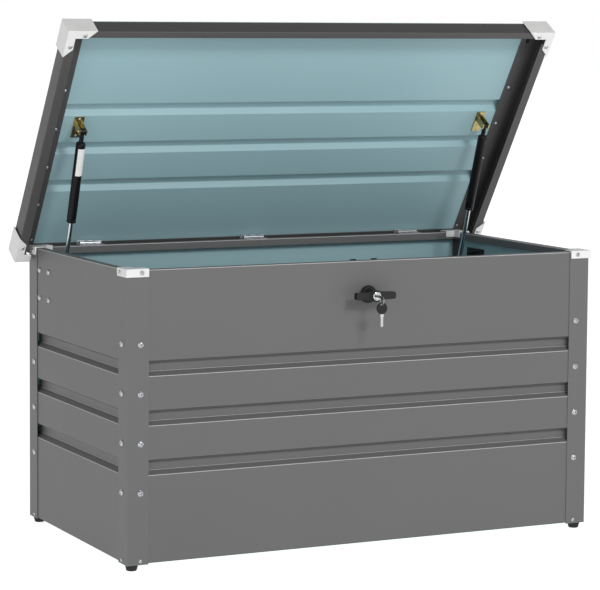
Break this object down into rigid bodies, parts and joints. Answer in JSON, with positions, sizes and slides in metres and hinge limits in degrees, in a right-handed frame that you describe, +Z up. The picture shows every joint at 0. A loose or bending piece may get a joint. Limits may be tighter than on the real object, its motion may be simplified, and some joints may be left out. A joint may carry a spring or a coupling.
{
  "type": "deck storage box",
  "caption": "Sheet-steel deck storage box with ribbed walls, hinged lid on gas struts, keyed T handle, corner caps and feet.",
  "frame": {"origin": "bottom centre of the bounding box with the lid standing open, on the floor", "axes": "+X along the length, to the right seen from the front; -Y faces the user; +Z up"},
  "size_m": [1.196, 0.6665, 1.1341],
  "materials": {
    "wall_paint": "anthracite powder coat outside, blue-grey coat inside",
    "post_paint": "anthracite powder coat",
    "rail_paint": "darker anthracite powder coat",
    "lid_sheet": "pale blue-green coat inside, anthracite outside",
    "inner_steel": "pale blue-green coat",
    "white_plastic": "satin",
    "foot_rubber": "moulded",
    "black_steel": "satin black",
    "strut_black": "semi-gloss black",
    "yellow_zinc": "yellow-passivated zinc",
    "rod_chrome": "ground and plated",
    "hinge_zinc": "zinc plated",
    "lock_black": "satin black",
    "lock_chrome": "polished",
    "key_black": "moulded black head"
  },
  "bodies": {
    "box_body": {"panel_front": "wall_paint", "panel_back": "wall_paint", "panel_left": "wall_paint", "panel_right": "wall_paint", "floor_panel": "inner_steel", "post_front_left": "post_paint", "post_front_right": "post_paint", "post_back_right": "post_paint", "post_back_left": "post_paint", "body_cap_front_left": "white_plastic", "body_cap_front_right": "white_plastic", "body_cap_back_right": "white_plastic", "body_cap_back_left": "white_plastic", "foot_front_left": "foot_rubber", "foot_front_right": "foot_rubber", "foot_back_right": "foot_rubber", "foot_back_left": "foot_rubber", "strut_wall_bracket_left": "black_steel", "strut_wall_bracket_right": "black_steel", "hinge_body_leaf_left": "hinge_zinc", "hinge_body_leaf_middle": "hinge_zinc", "hinge_body_leaf_right": "hinge_zinc", "lock_rosette": "lock_black", "lock_cover": "lock_black"},
    "lid": {"lid_panel": "lid_sheet", "lid_rail_front": "rail_paint", "lid_rail_rear": "rail_paint", "lid_rail_left": "rail_paint", "lid_rail_right": "rail_paint", "lid_cap_front_left": "white_plastic", "lid_cap_front_right": "white_plastic", "lid_cap_back_right": "white_plastic", "lid_cap_back_left": "white_plastic", "strut_lid_bracket_left": "yellow_zinc", "strut_lid_bracket_right": "yellow_zinc", "hinge_lid_leaf_left": "hinge_zinc", "hinge_lid_leaf_middle": "hinge_zinc", "hinge_lid_leaf_right": "hinge_zinc"},
    "strut_tube_left": {"gas_tube_left": "strut_black"},
    "strut_rod_left": {"gas_rod_left": "rod_chrome"},
    "strut_tube_right": {"gas_tube_right": "strut_black"},
    "strut_rod_right": {"gas_rod_right": "rod_chrome"},
    "handle": {"t_handle": "lock_black", "latch_cam": "hinge_zinc", "lock_ring": "lock_chrome"},
    "key": {"lock_plug": "lock_chrome", "key_inserted": "key_black"},
    "ring": {"key_ring": "lock_chrome"},
    "spare_key": {"key_hanging": "key_black"}
  },
  "joints": [
    {"name": "lid_hinge", "type": "hinge", "parent": "box_body", "child": "lid", "pos_m": [0, 0.31, 0.628], "axis": [1, 0, 0], "range_deg": [0, 56.8], "stiffness_Nm_per_rad": 6, "springref_deg": -160.43},
    {"name": "strut_swing_left", "type": "hinge", "parent": "lid", "child": "strut_tube_left", "pos_m": [-0.506, 0.11338, 0.89012], "axis": [1, 0, 0], "range_deg": [0, 1.7]},
    {"name": "strut_slide_left", "type": "slide", "parent": "strut_tube_left", "child": "strut_rod_left", "axis": [0, -0.3202, 0.9473], "range_m": [0, 0.10695]},
    {"name": "strut_swing_right", "type": "hinge", "parent": "lid", "child": "strut_tube_right", "pos_m": [0.506, 0.11338, 0.89012], "axis": [1, 0, 0], "range_deg": [0, 1.7]},
    {"name": "strut_slide_right", "type": "slide", "parent": "strut_tube_right", "child": "strut_rod_right", "axis": [0, -0.3202, 0.9473], "range_m": [0, 0.10695]},
    {"name": "handle_turn", "type": "hinge", "parent": "box_body", "child": "handle", "pos_m": [0, -0.2905, 0.552], "axis": [0, -1, 0], "range_deg": [0, 90]},
    {"name": "key_turn", "type": "hinge", "parent": "handle", "child": "key", "pos_m": [0, -0.3025, 0.552], "axis": [0, -1, 0], "range_deg": [0, 90]},
    {"name": "ring_swing", "type": "hinge", "parent": "key", "child": "ring", "pos_m": [0, -0.3226, 0.552], "axis": [0, 1, 0], "range_deg": [-20, 20]},
    {"name": "spare_key_swing", "type": "hinge", "parent": "ring", "child": "spare_key", "pos_m": [0, -0.3226, 0.537], "axis": [1, 0, 0], "range_deg": [-16, 20]}
  ],
  "couplings": [
    {"joint": "strut_swing_left", "follows": "lid_hinge", "ratio": 0.02904},
    {"joint": "strut_slide_left", "follows": "lid_hinge", "m_per_rad": 0.10758},
    {"joint": "strut_swing_right", "follows": "lid_hinge", "ratio": 0.02904},
    {"joint": "strut_slide_right", "follows": "lid_hinge", "m_per_rad": 0.10758}
  ]
}
